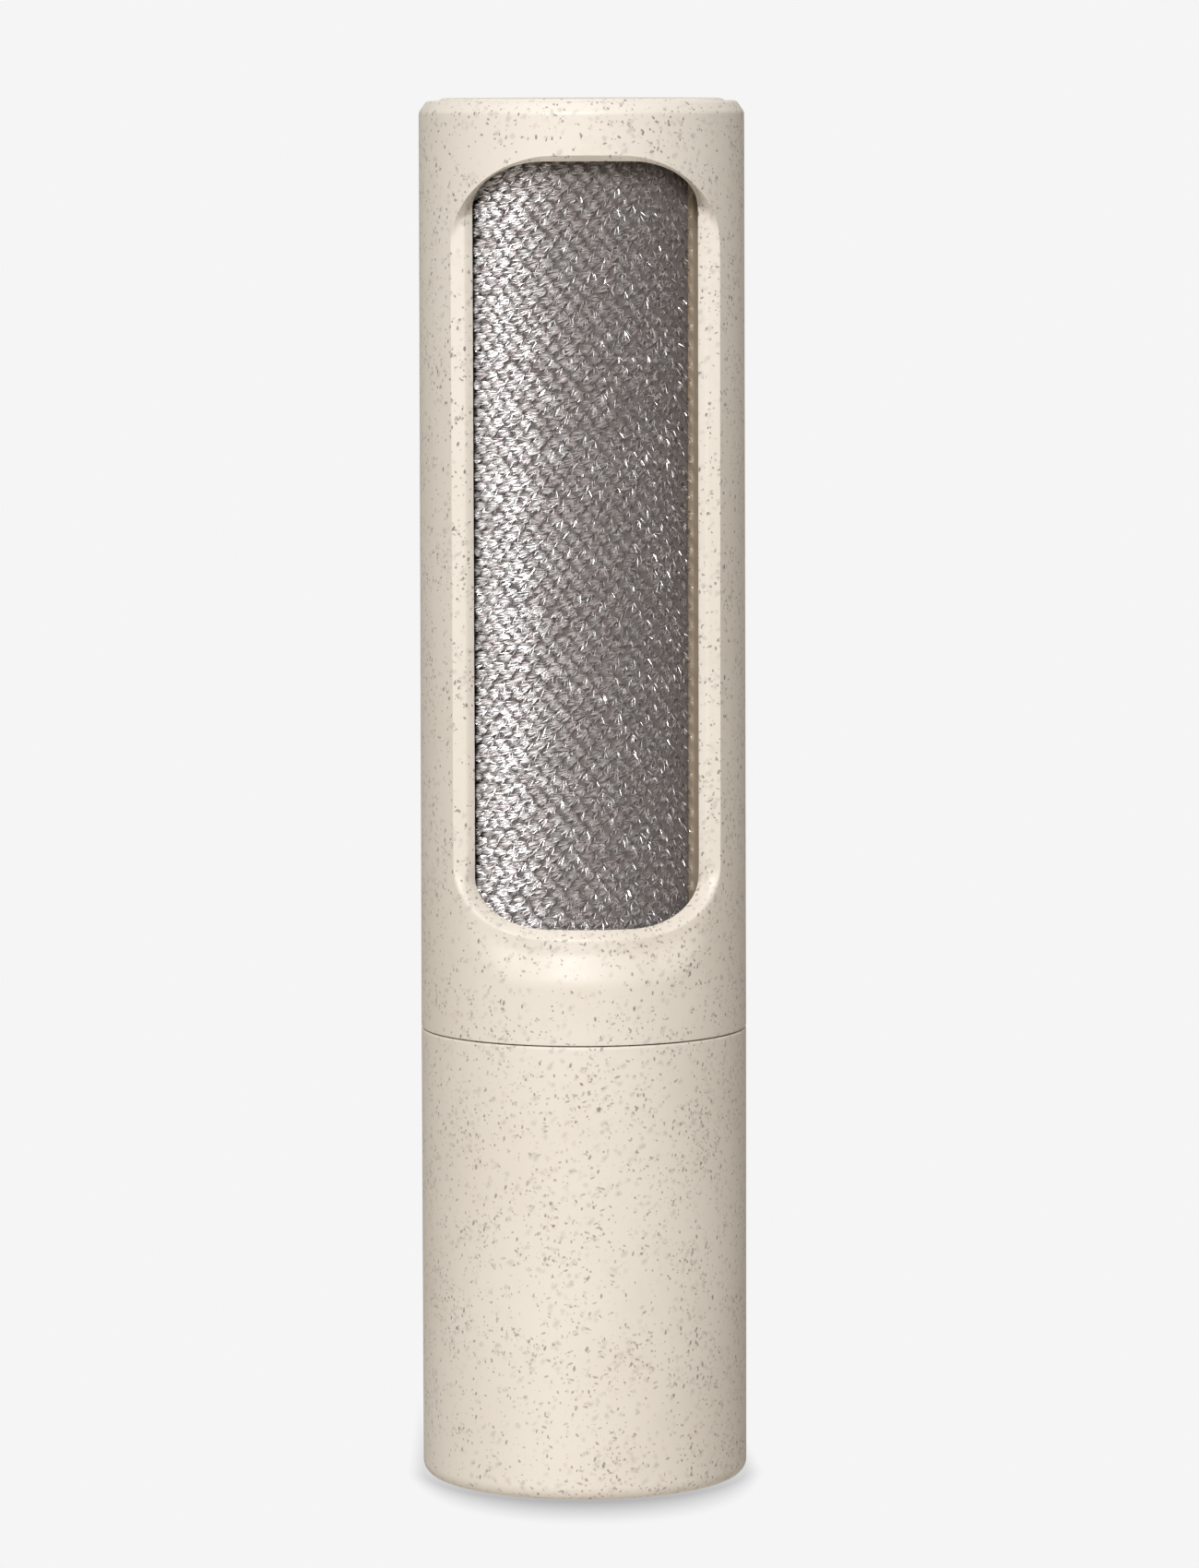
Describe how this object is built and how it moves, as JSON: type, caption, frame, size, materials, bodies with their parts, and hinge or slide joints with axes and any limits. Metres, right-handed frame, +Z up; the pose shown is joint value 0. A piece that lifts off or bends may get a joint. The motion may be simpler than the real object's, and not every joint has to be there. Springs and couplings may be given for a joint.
{
  "type": "clothes brush",
  "caption": "Round upright clothes brush: pile-covered drum behind a tall window in a housing that twists on a handle and lifts off.",
  "frame": {"origin": "middle of the flat base, on the surface that the brush stands on", "axes": "+Z up along the brush's axis, -Y out of the middle of the window, +X to the right of someone who faces the window"},
  "size_m": [0.0424, 0.0424, 0.1796],
  "materials": {
    "speckled_plastic": "satin cream plant-fibre plastic with fine dark flecks",
    "drum_plastic": "plain moulded plastic",
    "carrier_plastic": "tan moulded plastic",
    "white_acetal": "slippery white acetal",
    "pile_fabric": "grey one-way pile in small tufts",
    "felt": "dark short-pile wiping strip",
    "rubber": "matt nitrile",
    "steel": "plated"
  },
  "bodies": {
    "handle": {"handle_shell": "speckled_plastic", "handle_neck": "drum_plastic", "neck_screw": "steel", "friction_ring": "rubber", "retaining_clip": "steel", "detent_spring_1": "steel", "detent_spring_2": "steel", "detent_ball_1": "steel", "detent_ball_2": "steel", "drum_bottom_disc": "drum_plastic", "drum_front_shell": "drum_plastic", "drum_rear_shell": "drum_plastic", "drum_top_disc": "drum_plastic", "drum_spindle": "steel", "spindle_clip": "steel", "drum_screw_1": "steel", "drum_screw_2": "steel", "drum_screw_3": "steel", "drum_screw_4": "steel", "pad_carrier_front": "carrier_plastic", "pad_carrier_rear": "carrier_plastic", "brush_pad_front": "pile_fabric", "brush_pad_rear": "pile_fabric"},
    "swivel": {"swivel_ring": "white_acetal"},
    "housing": {"housing_shell": "speckled_plastic", "top_cap": "speckled_plastic", "pivot_bush": "white_acetal", "cleaning_strip_left": "felt", "cleaning_strip_right": "felt"}
  },
  "joints": [
    {"name": "housing_twist", "type": "hinge", "parent": "handle", "child": "swivel", "pos_m": [0, 0, 0.0584], "axis": [0, 0, 1], "continuous": true},
    {"name": "housing_lift", "type": "slide", "parent": "swivel", "child": "housing", "axis": [0, 0, 1], "range_m": [0, 0.12]}
  ]
}
